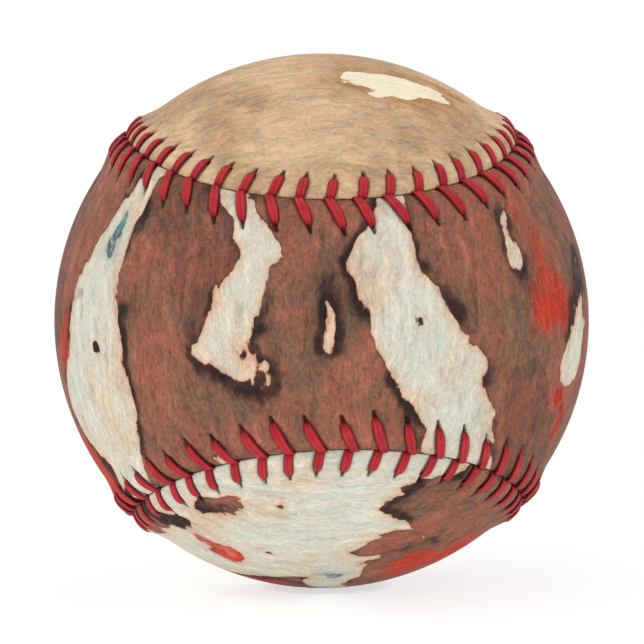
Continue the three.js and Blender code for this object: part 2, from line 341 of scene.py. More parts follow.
# Points closer than this are one point, and edges shorter than this are dropped
WELD_DISTANCE = 1e-6
LEAST_EDGE = 1e-7
LEAST_ANGLE = 1e-6
# How dark the painted shade is in a slit, in the fold at its hole and in the creases beside a stitch
SLIT_SHADE = 1.1
FOLD_SHADE = 0.3
CREASE_SHADE = 0.4


def half_turned(points):
    """Half a turn about the line between +X and +Z, which takes one cover to the other."""
    return np.stack([points[..., 2], -points[..., 1], points[..., 0]], axis=-1)


def middle_line(directions, side):
    """The nearest point, level with it, of the line down the middle of a cover."""
    own = directions if side == FRONT else half_turned(directions)
    sideways = np.arctan2(np.abs(own[..., 0]), -own[..., 1])
    angle = np.minimum(sideways, np.pi / 2) * np.sign(own[..., 0])
    line = np.stack([np.sin(angle), -np.cos(angle), np.zeros_like(angle)], axis=-1)
    return line if side == FRONT else half_turned(line)


def between(start, end, share):
    """Points of the great circles between two sets of directions."""
    cosine = np.clip(np.sum(start * end, axis=-1, keepdims=True), -1, 1)
    angle = np.maximum(np.arccos(cosine), LEAST_ANGLE)
    return (np.sin((1 - share) * angle) * start + np.sin(share * angle) * end) / np.sin(angle)


class CoverShape:
    """Grid of one cover, from the inside of its cut edge over the outer face to the middle."""

    def __init__(self, seam, stitching, leather):
        self.seam, self.stitching, self.leather = seam, stitching, leather
        count = seam.shape.stitches
        self.index = np.repeat(np.arange(count), len(COLUMN_OFFSETS))
        self.offset = np.tile(COLUMN_OFFSETS * (seam.pitch / COLUMN_PITCH), count)
        self.closeness = 1 - np.abs(self.offset) / (seam.pitch / 2)
        self.reach = seam.reach(self.index + self.offset / seam.pitch, stitching.side)
        self.reach = self.reach + stitching.reach_stray[self.index] * self.closeness

    def place(self, distance):
        """The columns follow the slant of their stitch, and stand square again past the holes."""
        share = distance / self.reach
        square = 1 - smooth(share, SLANT_END, BAND_WIDTH / self.reach)
        lead = self.stitching.lead + self.stitching.lead_stray[self.index] * self.closeness
        stray = self.stitching.shift[self.index] * self.closeness
        shift = (lead * self.stitching.run(share) + stray) * square
        return self.index + (self.offset + shift) / self.seam.pitch

    def slit(self, past):
        """How deep the needle slit is, as a share, at a distance past the hole."""
        leather = self.leather
        narrowing = SLIT_NARROWING * np.clip(past / leather.slit_length, 0, 1)
        width = leather.slit_half_width * (1 - narrowing)
        across = np.exp(-((self.offset / width) ** 2))
        rise = smooth(past, SLIT_RISE * leather.slit_length, leather.slit_length)
        return across * smooth(past, *SLIT_OPENING) * (1 - rise)

    def relief(self, distance):
        """Height of the leather over the ball, and the painted shade in its slits, folds and creases.
        """
        leather = self.leather
        share = distance / self.reach
        past = distance - self.reach
        beneath = 1 - smooth(share, *GROOVE_END)
        under = np.exp(-((self.offset / leather.press_half_width) ** 4))
        pressed = under * beneath
        # Painted shade only, not height: a crease along each side of the stitch's groove, and a fold at
        # its hole
        beside = np.abs(np.abs(self.offset) - leather.press_half_width)
        crease_shade = np.exp(-((beside / CREASE_WIDTH) ** 2)) * beneath
        end_fold_shade = under * np.exp(-((past / END_FOLD_WIDTH) ** 2))
        swell = -np.cos(2 * np.pi * self.offset / self.seam.pitch)
        swell = swell * np.sin(np.pi * np.clip(share / SWELL_END, 0, 1))
        slit = self.slit(past)
        height = ridge(leather, distance) - leather.press_depth * pressed
        height = height + leather.pucker * swell - leather.slit_depth * slit
        shade = SLIT_SHADE * slit + FOLD_SHADE * end_fold_shade + CREASE_SHADE * crease_shade
        return height, np.clip(shade, 0, 1)

    def row(self, distance, drop=0.0, shade=0.0):
        """Points of the outer face at a distance from the seam, and their painted shade."""
        distance = np.broadcast_to(distance, self.reach.shape)
        height, dark = self.relief(distance)
        radius = BALL_RADIUS + height - drop
        points = self.seam.beside(self.place(distance), self.stitching.side * distance, radius)
        return points, np.maximum(dark, shade)

    def outer_rows(self):
        """The stitched band, from the foot of the cut edge to where the smooth middle starts."""
        rows = []
        for distance, drop in EDGE_PROFILE:
            # Painted shade on the cut edge, deeper as it drops into the seam
            shade = min(EDGE_SHADE_LIMIT, drop / EDGE_SHADE_DROP)
            rows.append(self.row(distance * MM, drop * MM, shade))
        first = EDGE_PROFILE[-1][0] * MM
        for share in ROWS_TO_HOLE:
            rows.append(self.row(first + share * (self.reach - first)))
        for share in ROWS_PAST_HOLE:
            rows.append(self.row(self.reach + share * (BAND_WIDTH - self.reach)))
        return rows

    def coarse_directions(self, distance):
        """Directions to points at a distance from the seam, for what lies beyond the band."""
        place = np.arange(0, self.seam.shape.stitches, COARSE_STEP / len(COLUMN_OFFSETS))
        distance = np.full(place.shape, self.stitching.side * distance)
        return self.seam.beside(place - COARSE_SHIFT, distance, np.ones(place.shape))


class MeshWriter:
    """Collects rings of points and the faces between them, and makes the mesh."""

    def __init__(self):
        self.points = []
        self.shades = []
        self.faces = []
        self.size = 0

    def ring(self, points, shade=0.0):
        """Adds a closed ring of points with their painted shade, and gives their numbers."""
        first = self.size
        self.points.append(points)
        self.shades.append(np.broadcast_to(shade, len(points)))
        self.size += len(points)
        return np.arange(first, self.size)

    def add_faces(self, faces, inward):
        """Adds faces, turned over where they look to the ball's middle."""
        self.faces += [face[::-1] for face in faces] if inward else faces

    def bridge(self, near, far, inward=False):
        """Faces between two rings of as many points."""
        self.add_faces(list(zip(near, np.roll(near, -1), np.roll(far, -1), far)), inward)

    def funnel(self, fine, coarse, inward=False):
        """Faces from a fine ring to one with fewer points."""
        step = len(fine) // len(coarse)
        half = (step + 1) // 2
        faces = []
        for number, here in enumerate(coarse):
            there = coarse[(number + 1) % len(coarse)]
            own = [fine[(number * step + k) % len(fine)] for k in range(step + 1)]
            for k in range(step):
                faces.append((own[k], own[k + 1], here if k < half else there))
            faces.append((own[half], there, here))
        self.add_faces(faces, inward)

    def build(self, name, flip):
        """The finished object, with all of its faces turned over where asked."""
        order = -1 if flip else 1
        faces = [[int(corner) for corner in face[::order]] for face in self.faces]
        mesh = bpy.data.meshes.new(name)
        mesh.from_pydata(np.concatenate(self.points).tolist(), [], faces)
        # Painted shade of the slits, folds, creases and cut edge, which the leather material reads
        shade = mesh.attributes.new("shade", "FLOAT", "POINT")
        shade.data.foreach_set("value", np.concatenate(self.shades).astype(np.float32))
        weld(mesh)
        mesh.shade_smooth()
        return add_object(name, mesh)


def weld(mesh):
    """Joins the points that lie on each other, and drops the faces that this closes."""
    work = bmesh.new()
    work.from_mesh(mesh)
    bmesh.ops.remove_doubles(work, verts=work.verts, dist=WELD_DISTANCE)
    bmesh.ops.dissolve_degenerate(work, edges=work.edges, dist=LEAST_EDGE)
    work.to_mesh(mesh)
    work.free()


def cover_face(writer, shape, rim):
    """The smooth middle of a cover's outer face, within its stitched band."""
    start = shape.coarse_directions(FACE_START)
    middle = middle_line(start, shape.stitching.side)
    rings = [writer.ring(between(start, middle, k / FACE_ROWS) * BALL_RADIUS)
             for k in range(FACE_ROWS + 1)]
    writer.funnel(rim, rings[0])
    for near, far in zip(rings, rings[1:]):
        writer.bridge(near, far)


def cover_lining(writer, shape, rim):
    """The inner face of a cover, from the foot of its cut edge."""
    inner_radius = BALL_RADIUS - shape.leather.thickness
    rings = []
    for distance in LINING_BAND_ROWS:
        radius = inner_radius + ridge(shape.leather, distance)
        rings.append(writer.ring(shape.coarse_directions(distance) * radius))
    start = shape.coarse_directions(LINING_BAND_ROWS[-1])
    middle = middle_line(start, shape.stitching.side)
    for k in range(1, LINING_MIDDLE_ROWS + 1):
        points = between(start, middle, k / LINING_MIDDLE_ROWS) * inner_radius
        rings.append(writer.ring(points))
    writer.funnel(rim, rings[0], inward=True)
    for near, far in zip(rings, rings[1:]):
        writer.bridge(near, far, inward=True)


def make_cover(name, seam, stitching, leather):
    """One figure-eight cover as a closed shell with a cut edge, stitch grooves and needle slits."""
    shape = CoverShape(seam, stitching, leather)
    writer = MeshWriter()
    band = [writer.ring(points, shade) for points, shade in shape.outer_rows()]
    for near, far in zip(band, band[1:]):
        writer.bridge(near, far)
    cover_face(writer, shape, band[-1])
    cover_lining(writer, shape, band[0])
    return writer.build(name, flip=stitching.side == BACK)


# Lacing thread

# Rows of a half stitch. Each holds the share of the way from the seam to the stitch's end, the
# distance past that and the height over the leather, both in millimetres, and the girth.
HOLE_ROWS = [
    (1.0, -0.15, -1.45, 0.56),
    (1.0, -0.17, -0.8, 0.64),
    (1.0, -0.24, -0.34, 0.72),
    (1.0, -0.4, -0.06, 0.8),
    (1.0, -0.72, 0.07, 0.9),
]
# On from there over the ridge and down at the seam. The front cover's stitch lies on the back's.
RIDGE_ROWS = {
    FRONT: [
        (0.7, 0.0, 0.1, 1.06),
        (0.56, 0.0, 0.13, 1.15),
        (0.42, 0.0, 0.15, 1.13),
        (0.29, 0.0, 0.19, 1.05),
        (0.18, 0.0, 0.28, 0.98),
        (0.1, 0.0, 0.34, 0.98),
        (0.03, 0.0, 0.3, 0.92),
        (-0.02, 0.0, 0.06, 0.82),
        (-0.02, 0.0, -0.55, 0.7),
        (-0.02, 0.0, -1.5, 0.6),
    ],
    BACK: [
        (0.7, 0.0, 0.1, 0.98),
        (0.56, 0.0, 0.1, 1.0),
        (0.42, 0.0, 0.1, 1.0),
        (0.29, 0.0, 0.08, 0.98),
        (0.18, 0.0, 0.05, 0.98),
        (0.12, 0.0, 0.02, 0.98),
        (0.05, 0.0, -0.03, 0.92),
        (0.0, 0.0, -0.2, 0.82),
        (0.0, 0.0, -0.55, 0.7),
        (0.0, 0.0, -1.5, 0.6),
    ],
}
# A needle's last end leans along the seam by this many stitches, and lifts a little
TAIL_LEAN = 0.2
TAIL_LIFT = 0.1 * MM
# Where the thread starts, between the covers: how far below the crown of the ridge, and its girth
START_DEPTH = 1.55 * MM
START_GIRTH = 0.6


def half_stitch(stitching, leather, index):
    """Thread through one needle hole: up, over the ridge and down between the cut edges."""
    reach = stitching.reach(index)
    points, girths = [], []
    for share, past, height, girth in HOLE_ROWS + RIDGE_ROWS[stitching.side]:
        distance = share * reach + past * MM
        along = stitching.slant(index, min(distance / reach, 1.0))
        place = index + along / stitching.seam.pitch
        radius = BALL_RADIUS + ridge(leather, distance) + height * MM
        points.append((place, stitching.side * distance, radius))
        girths.append(girth)
    return points, girths


def needle_route(seam, stitchings, leather, thread, first_side):
    """All that one of the two needles sews: a half stitch of each cover in turn, and its tail."""
    points, girths = [], []
    for index in range(seam.shape.stitches):
        side = first_side if index % 2 == 0 else -first_side
        more, thickness = half_stitch(stitchings[side], leather, index)
        points += more
        girths += thickness
    place, _, radius = points[-1]
    points.append((place + TAIL_LEAN, side * -thread.tail, radius + TAIL_LIFT))
    girths.append(girths[-1])
    return points, girths


def lacing_route(seam, stitchings, leather, thread):
    """The whole thread: one needle's stitches backwards, then the other needle's forwards."""
    back, back_girths = needle_route(seam, stitchings, leather, thread, BACK)
    front, front_girths = needle_route(seam, stitchings, leather, thread, FRONT)
    start = (0.0, 0.0, BALL_RADIUS + leather.ridge_height - START_DEPTH)
    points = np.array(back[::-1] + [start] + front)
    girths = np.array(back_girths[::-1] + [START_GIRTH] + front_girths)
    return points, girths


def make_guide(seam, stitchings, leather, thread):
    """The thread's middle line as a chain of edges, with the way its flat side faces."""
    route, girths = lacing_route(seam, stitchings, leather, thread)
    points = seam.beside(route[:, 0], route[:, 1], route[:, 2])
    steps = unit(np.diff(points, axis=0))
    heading = unit(np.vstack([steps[:1], steps[:-1] + steps[1:], steps[-1:]]))
    _, along, _ = seam.frame_at(route[:, 0])
    sideways = squared(along, heading)
    mesh = bpy.data.meshes.new("lacing_guide")
    links = [(k, k + 1) for k in range(len(points) - 1)]
    mesh.from_pydata(points.tolist(), links, [])
    girth = mesh.attributes.new("girth", "FLOAT", "POINT")
    girth.data.foreach_set("value", girths.astype(np.float32))
    up = mesh.attributes.new("up", "FLOAT_VECTOR", "POINT")
    up.data.foreach_set("vector", np.cross(heading, sideways).astype(np.float32).ravel())
    return add_object("lacing", mesh)


class NodeWriter:
    """Adds nodes to a tree."""

    def add(self, kind, inputs, settings):
        """A node, its settings first, then the values or links of its sockets."""
        node = self.tree.nodes.new(kind)
        for name, value in settings.items():
            setattr(node, name, value)
        for name, value in (inputs or {}).items():
            if isinstance(value, bpy.types.NodeSocket):
                self.tree.links.new(value, node.inputs[name])
            else:
                node.inputs[name].default_value = value
        return node


class TreeWriter(NodeWriter):
    """Writes a Geometry Nodes tree."""

    def __init__(self, name):
        self.tree = bpy.data.node_groups.new(name, "GeometryNodeTree")
        self.tree.is_modifier = True
        self.tree.interface.new_socket("Geometry", in_out="INPUT", socket_type="NodeSocketGeometry")
        self.source = self.tree.nodes.new("NodeGroupInput")

    def size(self, name, kind="NodeSocketFloat"):
        """A named input of the tree."""
        self.tree.interface.new_socket(name, in_out="INPUT", socket_type=kind)
        return self.source.outputs[name]

    def node(self, kind, inputs=None, **settings):
        return self.add(kind, inputs, settings)

    def finish(self, geometry, material):
        """Ends the tree in plain geometry of one material."""
        real = self.node("GeometryNodeRealizeInstances", {"Geometry": geometry})
        painted = self.node("GeometryNodeSetMaterial",
                            {"Geometry": real.outputs[0], "Material": material})
        self.tree.interface.new_socket("Geometry", in_out="OUTPUT", socket_type="NodeSocketGeometry")
        self.node("NodeGroupOutput", {"Geometry": painted.outputs[0]})
        return self.tree


def thread_tree(material):
    """Sweeps two plies, side by side, along the guide."""
    writer = TreeWriter("Lacing thread")
    radius = writer.size("Strand radius")
    spacing = writer.size("Strand spacing")
    flatness = writer.size("Flatness")
    sides = writer.size("Strand sides", "NodeSocketInt")
    curve = writer.node("GeometryNodeMeshToCurve", {"Mesh": writer.source.outputs["Geometry"]})
    up = writer.node("GeometryNodeInputNamedAttribute", {"Name": "up"}, data_type="FLOAT_VECTOR")
    girth = writer.node("GeometryNodeInputNamedAttribute", {"Name": "girth"}, data_type="FLOAT")
    facing = writer.node("GeometryNodeSetCurveNormal",
                         {"Curve": curve.outputs[0], "Normal": up.outputs[0]}, mode="FREE")
    length = writer.node("GeometryNodeSplineParameter")
    run = writer.node("GeometryNodeStoreNamedAttribute",
                      {"Geometry": facing.outputs[0], "Name": "run", "Value": length.outputs["Length"]},
                      data_type="FLOAT", domain="POINT")
    ring = writer.node("GeometryNodeCurvePrimitiveCircle", {"Resolution": sides, "Radius": radius})
    around = writer.node("GeometryNodeSplineParameter")
    marked = writer.node("GeometryNodeStoreNamedAttribute",
                         {"Geometry": ring.outputs[0], "Name": "around",
                          "Value": around.outputs["Factor"]},
                         data_type="FLOAT", domain="POINT")
    plies = writer.node("GeometryNodeJoinGeometry")
    pressed = writer.node("ShaderNodeCombineXYZ", {"X": flatness, "Y": 1.0, "Z": 1.0})
    for sign in (-1, 1):
        offset = writer.node("ShaderNodeVectorMath", {0: (0, sign, 0), "Scale": spacing},
                             operation="SCALE")
        ply = writer.node("GeometryNodeTransform",
                          {"Geometry": marked.outputs[0], "Translation": offset.outputs[0],
                           "Scale": pressed.outputs[0]})
        writer.tree.links.new(ply.outputs[0], plies.inputs[0])
    swept = writer.node("GeometryNodeCurveToMesh",
                        {"Curve": run.outputs[0], "Profile Curve": plies.outputs[0],
                         "Scale": girth.outputs[0], "Fill Caps": True})
    soft = writer.node("GeometryNodeSetShadeSmooth", {"Geometry": swept.outputs[0]})
    return writer.finish(soft.outputs[0], material)


def applied(name, source, tree, values):
    """Runs a tree on an object with these values, and keeps the result as a plain mesh."""
    modifier = source.modifiers.new(tree.name, "NODES")
    modifier.node_group = tree
    sockets = {item.name: item.identifier for item in tree.interface.items_tree
               if item.item_type == "SOCKET" and item.in_out == "INPUT"}
    for label, value in values.items():
        modifier[sockets[label]] = value
    evaluated = source.evaluated_get(bpy.context.evaluated_depsgraph_get())
    mesh = bpy.data.meshes.new_from_object(evaluated)
    mesh.name = name
    source.modifiers.remove(modifier)
    bpy.data.objects.remove(source)
    return add_object(name, mesh)


# Materials

class Signal:
    """A number in a material that takes part in Python maths."""

    def __init__(self, writer, socket):
        self.writer = writer
        self.socket = socket

    def maths(self, operation, *values, clamp=False):
        numbers = dict(enumerate(values))
        return self.writer.node("Math", numbers, operation=operation, use_clamp=clamp)[0]

    def __add__(self, other):
        return self.maths("ADD", self, other)

    def __radd__(self, other):
        return self.maths("ADD", other, self)

    def __sub__(self, other):
        return self.maths("SUBTRACT", self, other)

    def __rsub__(self, other):
        return self.maths("SUBTRACT", other, self)

    def __mul__(self, other):
        return self.maths("MULTIPLY", self, other)

    def __rmul__(self, other):
        return self.maths("MULTIPLY", other, self)

    def __neg__(self):
        return self.maths("MULTIPLY", self, -1.0)

    def larger(self, other):
        return self.maths("MAXIMUM", self, other)

    def within(self):
        return self.maths("ADD", self, 0.0, clamp=True)

    def exponent(self):
        return self.maths("EXPONENT", self)


class ShaderWriter(NodeWriter):
    """Writes the nodes of a material or of the world."""

    def __init__(self, owner):
        owner.use_nodes = True
        self.owner = owner
        self.tree = owner.node_tree
        self.tree.nodes.clear()

    def node(self, kind, inputs=None, **settings):
        """A shader node. Gives its outputs."""
        plain = {name: value.socket if isinstance(value, Signal) else value
                 for name, value in (inputs or {}).items()}
        node = self.add("ShaderNode" + kind, plain, settings)
        return [Signal(self, socket) for socket in node.outputs]

    def outputs(self, kind, **settings):
        """The outputs of a node without inputs, by their names."""
        return {signal.socket.name: signal for signal in self.node(kind, **settings)}

    def vector(self, operation, *values):
        """Vector Math that gives a vector."""
        return self.node("VectorMath", dict(enumerate(values)), operation=operation)[0]

    def measure(self, operation, *values):
        """Vector Math that gives a number."""
        return self.node("VectorMath", dict(enumerate(values)), operation=operation)[1]

    def scaled(self, vector, factor):
        return self.node("VectorMath", {0: vector, "Scale": factor}, operation="SCALE")[0]

    def position(self, scale=BALL_SCALE):
        """Object coordinates, stretched by a number for each axis."""
        return self.vector("MULTIPLY", self.outputs("TexCoord")["Object"], scale)

    def shifted(self, vector, offset, strength):
        """A vector moved by a colour whose middle grey stands for no move."""
        centred = self.vector("SUBTRACT", offset, (0.5, 0.5, 0.5))
        return self.vector("ADD", vector, self.vector("MULTIPLY", centred, (strength,) * 3))

    def noise(self, vector, scale, detail=2.0, roughness=0.5):
        """Fractal noise. Gives the number and the colour."""
        return self.node("TexNoise", {"Vector": vector, "Scale": scale, "Detail": detail,
                                      "Roughness": roughness})

    def step(self, value, low, high):
        """Rises softly from 0 at one value to 1 at another."""
        return self.node("MapRange", {"Value": value, "From Min": low, "From Max": high},
                         interpolation_type="SMOOTHSTEP")[0]

    def mix(self, share, first, second, blend="MIX"):
        """Colours mixed by a share from 0 to 1."""
        colours = {0: share, 6: opaque(first), 7: opaque(second)}
        return self.node("Mix", colours, data_type="RGBA", blend_type=blend, clamp_result=True)[2]

    def attribute(self, name):
        return self.outputs("Attribute", attribute_name=name)["Fac"]

    def bump(self, height, distance, strength=1.0):
        return self.node("Bump", {"Height": height, "Distance": distance, "Strength": strength})[0]

    def finish(self, surface):
        """The finished material with this surface."""
        self.node("OutputMaterial", {"Surface": surface})
        return self.owner

    def finish_solid(self, colour, roughness, normal, specular=0.5):
        """The finished material of a solid with this colour, roughness, normal and shine."""
        return self.finish(self.node("BsdfPrincipled", {
            "Base Color": colour, "Roughness": roughness, "Normal": normal,
            "Specular IOR Level": specular,
        })[0])


def new_material(name):
    """A writer for a new, empty material."""
    return ShaderWriter(bpy.data.materials.new(name))


def ranged(share, low, high):
    """From one number to another as a share goes from 0 to 1."""
    return share * (high - low) + low


def opaque(colour):
    """A colour with its alpha, for a colour socket."""
    return colour if isinstance(colour, Signal) else (*colour, 1.0)


def towards(azimuth, elevation):
    """Direction from the ball's middle. Azimuth 0 is the front, and 90 is +X."""
    way, rise = math.radians(azimuth), math.radians(elevation)
    level = math.cos(rise)
    return Vector((math.sin(way) * level, -math.cos(way) * level, math.sin(rise)))


# Print

# Each brush stroke is a path of (azimuth, elevation, width), in degrees and ball radii
FRONT_ISLANDS = [
    [(13, 30, 0.05), (9, 10, 0.12), (20, -12, 0.17), (31, -35, 0.1)],
    [(-42, 34, 0.05), (-52, 10, 0.13), (-60, -14, 0.19), (-53, -38, 0.09)],
    [(-25, 32, 0.05), (-17, 12, 0.1), (-24, -2, 0.055), (-17, -10, 0.012)],
    [(-2, 6, 0.012), (-4, -4, 0.03)],
    [(-30, -22, 0.008), (-22, -32, 0.04)],
    [(38, 22, 0.01), (40, 12, 0.035)],
    [(66, 24, 0.03), (60, -10, 0.09)],
    [(92, 30, 0.05), (98, 8, 0.24), (112, -20, 0.14), (96, -38, 0.04)],
    [(-96, 26, 0.05), (-112, 12, 0.2), (-124, -22, 0.1)],
    [(-92, -14, 0.012), (-88, -32, 0.035)],
]
FRONT_GLAZE = [
    [(-30, 26, 0.16), (-24, 2, 0.1)],
    [(44, -18, 0.16), (52, -40, 0.2)],
    [(76, 30, 0.1), (82, 6, 0.08)],
    [(-84, 30, 0.14), (-80, 0, 0.1)],
]
FRONT_GLOW = [
    [(42, 28, 0.03), (52, 4, 0.07)],
    [(-80, -20, 0.04), (-70, -34, 0.12)],
    [(126, 22, 0.03), (134, 2, 0.09)],
]
FRONT_DABS = [
    [(56, -16, 0.02), (60, -24, 0.05)],
    [(-70, 2, 0.02), (-72, -6, 0.045)],
    [(-118, 18, 0.03), (-114, 8, 0.05)],
]
FRONT_TEAL = [
    [(-47, 21, 0.02), (-50, 14, 0.04)],
    [(26, -30, 0.015), (28, -33, 0.03)],
    [(104, 14, 0.02), (100, 6, 0.05)],
    [(-104, -24, 0.03), (-98, -30, 0.05)],
]
FRONT_SLATE = [
    [(21, -7, 0.026), (22, -8, 0.026)],
    [(15, 2, 0.012), (15.5, 1, 0.012)],
    [(27, -18, 0.016), (28, -20, 0.012)],
    [(-56, -6, 0.018), (-57, -8, 0.014)],
    [(-15, 9, 0.012), (-14, 8, 0.01)],
    [(-130, 2, 0.02), (-112, -4, 0.05)],
]
FRONT_TAIL = [
    [(-112, -4, 0.05), (-100, -10, 0.04)],
    [(14, -22, 0.02), (32, -25, 0.034)],
    [(-64, 2, 0.02), (-50, 8, 0.03)],
]
FRONT_BRISTLES = [
    [(8, 2, 0.007), (16, -16, 0.013)],
    [(21, -8, 0.008), (27, -24, 0.01)],
    [(15, -4, 0.004), (19, -18, 0.008)],
    [(-55, 20, 0.006), (-60, -4, 0.012)],
    [(-50, 4, 0.008), (-56, -18, 0.014)],
    [(100, -6, 0.01), (108, -18, 0.016)],
]
BACK_PATCH = [
    [(12, 62, 0.05), (27, 56, 0.1), (42, 50, 0.05)],
    [(20, 52, 0.04), (32, 47, 0.02)],
]
BACK_STAIN = [
    [(2, 64, 0.02), (16, 57, 0.045)],
    [(34, 64, 0.03), (50, 56, 0.05)],
    [(-40, 46, 0.02), (-30, 42, 0.04)],
    [(150, 50, 0.05), (120, 62, 0.09)],
]
BACK_DRIFT = [
    [(-46, 55, 0.04), (-12, 49, 0.07)],
    [(-4, 42, 0.03), (24, 42, 0.05)],
    [(40, 62, 0.04), (80, 66, 0.08)],
]
BACK_PALE = [
    [(0, -90, 1.16), (180, -74, 0.9)],
    [(182, 2, 0.16), (172, 30, 0.2)],
]
BACK_BROWN = [
    [(22, -36, 0.14), (70, -38, 0.42)],
    [(28, -58, 0.16), (90, -66, 0.5)],
    [(20, -50, 0.08), (-8, -55, 0.012)],
    [(-74, -40, 0.16), (-48, -44, 0.05)],
    [(-34, -37, 0.05), (-16, -40, 0.03)],
    [(-20, -66, 0.05), (-60, -76, 0.2)],
    [(152, -22, 0.2), (164, -2, 0.16)],
    [(-154, 26, 0.16), (-166, -8, 0.2), (-158, -28, 0.06)],
    [(180, -44, 0.06), (-160, -50, 0.12)],
]
BACK_GLOW = [
    [(30, -60, 0.05), (56, -58, 0.15)],
    [(-160, 20, 0.05), (-168, 0, 0.12)],
    [(-50, -70, 0.05), (-80, -80, 0.12)],
]
BACK_DABS = [
    [(-50, -50, 0.02), (-36, -54, 0.05)],
    [(178, 14, 0.03), (-176, 6, 0.06)],
]
BACK_TEAL = [
    [(-8, -62, 0.02), (0, -66, 0.04)],
    [(-62, 38, 0.02), (-58, 36, 0.03)],
    [(168, 34, 0.03), (172, 28, 0.05)],
]
BACK_SLATE = [
    [(-24, -50, 0.006), (-12, -58, 0.016)],
    [(160, -36, 0.02), (176, -32, 0.045)],
]

# Depths inside a stroke, in ball radii, at which something starts and at which it is full
CRISP_EDGE = (-0.0015, 0.0025)
PATCH_EDGE = (-0.002, 0.003)
DAB_EDGE = (-0.003, 0.004)
DAB_RIM = (0.0, 0.016)
DAB_HEART = (0.016, 0.07)
GLAZE_EDGE = (-0.004, 0.006)
SMUDGE_EDGE = (-0.012, 0.012)
STAIN_EDGE = (-0.03, 0.02)
DRIFT_EDGE = (-0.06, 0.06)
GLOW_EDGE = (-0.06, 0.07)
# Levels of the print's tone, a noise, at which something starts and at which it is full
FLOW_TONES = (0.44, 0.6)
THIN_TONES = (0.44, 0.62)
PEACH_TONES = (0.46, 0.68)
UMBER_TONES = (0.38, 0.62)
SAND_TONES = (0.42, 0.62)
RIM_TONES = (0.42, 0.56)
# Pigment of a wash, from where it barely flows to where it flows most. The pool along its edge
# starts to fade at a share of its width, and is gone this far past it.
POOL_WIDTH = (0.004, 0.054)
POOL_START = 0.3
POOL_FADE = 0.012
POOL_STRENGTH = (0.4, 0.95)
HAZE_STRENGTH = (0.15, 0.5)
EMBER_STRENGTH = (0.3, 0.7)
RIM_STRENGTH = (0.5, 1.0)
# How strong the other marks are
PEACH_STRENGTH = 0.5
BRISTLE_STRENGTH = 0.6
TAIL_STRENGTH = 0.42
GLAZE_STRENGTH = 0.3
DRIFT_STRENGTH = 0.35
STAIN_STRENGTH = 0.85
GLOW_STRENGTH = 0.8
GLOW_UNEVENNESS = 0.5
DAB_STRENGTH = (0.96, 0.66)
DAB_PLUM = 0.62
DAB_PEACH = 0.3
DAB_HALO = 0.4
# How fast an effect falls off with the distance from a stroke's edge, for each ball radius
HAZE_FALL = 16.0
PATCH_RIM_FALL = 26.0
PEACH_FALL = 42.0
DAB_HALO_FALL = 60.0
EMBER_FALL = 190.0
# How much of a full warm fringe a wash has, and a slate mark
WASH_FRINGE = 0.75
SLATE_FRINGE = 0.3
# Shortest run of a stroke, squared, so that a dot can be painted too
LEAST_RUN = 1e-9


def brush(writer, place, start, end):
    """How far inside one length of a brush stroke a place lies, in ball radii."""
    first, first_width = towards(*start[:2]), start[2]
    last, last_width = towards(*end[:2]), end[2]
    run = last - first
    offset = writer.vector("SUBTRACT", place, first)
    along = run / max(run.length_squared, LEAST_RUN)
    share = writer.measure("DOT_PRODUCT", offset, along).within()
    away = writer.measure("DISTANCE", offset, writer.scaled(run, share))
    return ranged(share, first_width, last_width) - away


def painted(writer, place, strokes):
    """How far inside the nearest of several brush strokes a place lies."""
    lengths = [ends for path in strokes for ends in zip(path, path[1:])]
    field = brush(writer, place, *lengths[0])
    for start, end in lengths[1:]:
        field = field.larger(brush(writer, place, start, end))
    return field


def fade(field, fall):
    """1 inside a stroke, falling off outside it. With a negative fall it is the other way round."""
    return (field * fall).exponent().within()


def wash(writer, under, over, field, tone, colours, fringe=WASH_FRINGE):
    """Watercolour over a colour: a crisp edge with a warm fringe, and pigment pooled inside it."""
    flow = writer.step(tone, *FLOW_TONES)
    width = ranged(flow, *POOL_WIDTH)
    pool = 1.0 - writer.step(field, width * POOL_START, width + POOL_FADE)
    haze = fade(field, -HAZE_FALL) * ranged(flow, *HAZE_STRENGTH)
    body = writer.mix((pool * ranged(flow, *POOL_STRENGTH)).larger(haze), over, colours.plum)
    around = writer.mix(fade(field, PEACH_FALL) * fringe, under, colours.peach)
    ember = fade(field, EMBER_FALL) * ranged(flow, *EMBER_STRENGTH) * fringe
    around = writer.mix(ember, around, colours.ember)
    return writer.mix(writer.step(field, *CRISP_EDGE), around, body)


def touch(writer, under, shade, field, tone, colours):
    """A wet dab: see-through where it is thin, with an edge in a darker shade of its own."""
    thickness = ranged(writer.step(tone, *THIN_TONES), *DAB_STRENGTH)
    deep = writer.mix(DAB_PLUM, shade, colours.plum)
    edge = writer.mix(writer.step(field, *DAB_RIM), deep, shade)
    light = writer.mix(writer.step(field, *DAB_HEART) * DAB_PEACH, edge, colours.peach)
    around = writer.mix(fade(field, DAB_HALO_FALL) * DAB_HALO, under, shade)
    return writer.mix(writer.step(field, *DAB_EDGE) * thickness, around, light)


def smudge(writer, under, over, field, share):
    """A soft, see-through brush mark."""
    return writer.mix(writer.step(field, *SMUDGE_EDGE) * share, under, over)


def accents(writer, colour, place, tone, colours, slate, dabs, teal):
    """Slate marks, then vermilion and teal dabs, over a colour."""
    marks = painted(writer, place, slate)
    colour = wash(writer, colour, colours.slate, marks, tone, colours, SLATE_FRINGE)
    for shade, strokes in [(colours.vermilion, dabs), (colours.teal, teal)]:
        colour = touch(writer, colour, shade, painted(writer, place, strokes), tone, colours)
    return colour


def stained_paper(writer, tone, colours):
    """Bare leather with faint peach stains."""
    stain = writer.step(tone, *PEACH_TONES) * PEACH_STRENGTH
    return writer.mix(stain, colours.paper, colours.peach)


